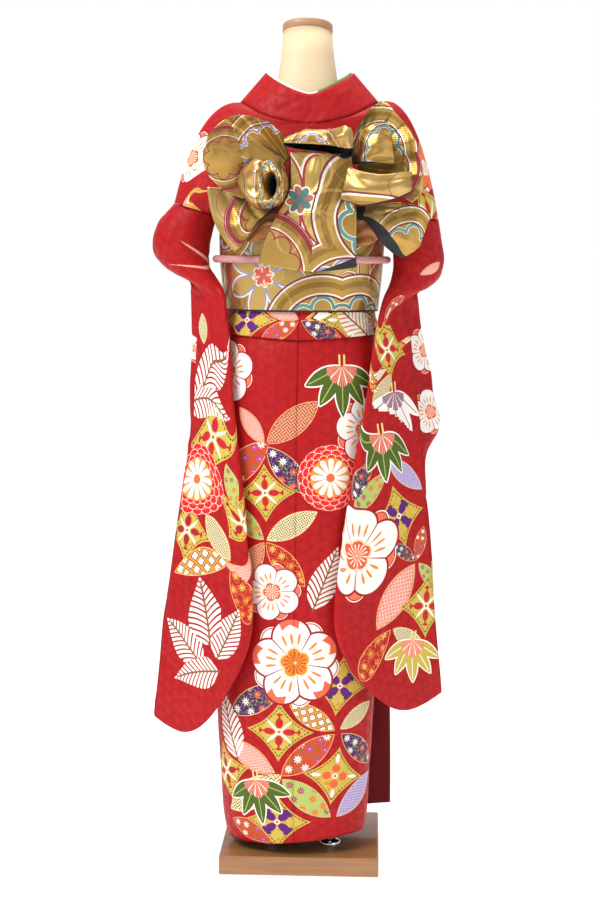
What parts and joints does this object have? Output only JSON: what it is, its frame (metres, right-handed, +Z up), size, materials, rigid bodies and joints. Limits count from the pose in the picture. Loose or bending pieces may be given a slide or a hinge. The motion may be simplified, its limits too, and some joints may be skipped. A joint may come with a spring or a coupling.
{
  "type": "furisode kimono with obi on a limbless dress form and stand",
  "caption": "Long-sleeved formal kimono with a tied obi bow, dressed on a limbless form on steel poles and a square wooden base, back to the viewer.",
  "frame": {"origin": "centre of the base board's underside", "axes": "+Z up; +X to the right of someone who looks at the back of the garment, so the wearer's left is -X; +Y the way the wearer faces"},
  "size_m": [0.5329, 0.3879, 1.5399],
  "materials": {
    "silk": "red figured silk with dyed flower, leaf and lattice motifs, soft satin sheen",
    "trim": "green silk band",
    "brocade": "gold brocade with woven scallops and petals",
    "reverse": "black brocade reverse",
    "braid": "round braided pink silk cord",
    "form": "smooth cream covering",
    "cap": "oiled turned wood",
    "board": "lacquered laminated beech",
    "steel": "polished"
  },
  "bodies": {
    "root": {"base_board": "board", "pole_left": "steel", "pole_right": "steel", "pole_flange_left": "steel", "pole_flange_right": "steel", "torso_form": "form", "neck_cap": "cap", "skirt_back_left": "silk", "skirt_back_right": "silk", "skirt_front_left": "silk", "skirt_front_right": "silk", "skirt_overlap_left": "silk", "skirt_overlap_right": "silk", "waist_fold_left": "silk", "waist_fold_right": "silk", "body_upper_left": "silk", "body_upper_right": "silk", "collar": "silk", "collar_trim_band": "trim", "sleeve_left": "silk", "sleeve_right": "silk", "obi_band": "brocade", "bow_knot": "reverse", "bow_centre_panel": "brocade", "bow_top_loop": "brocade", "bow_wing_upper_left": "brocade", "bow_wing_upper_right": "brocade", "bow_rosette_left": "brocade", "bow_wing_lower_left": "brocade", "bow_wing_lower_right": "brocade", "bow_middle_fold_right": "brocade", "bow_loop_right": "brocade", "bow_tuck_left": "brocade", "bow_tuck_right": "brocade", "obijime": "braid", "obijime_knot": "braid"}
  },
  "joints": []
}
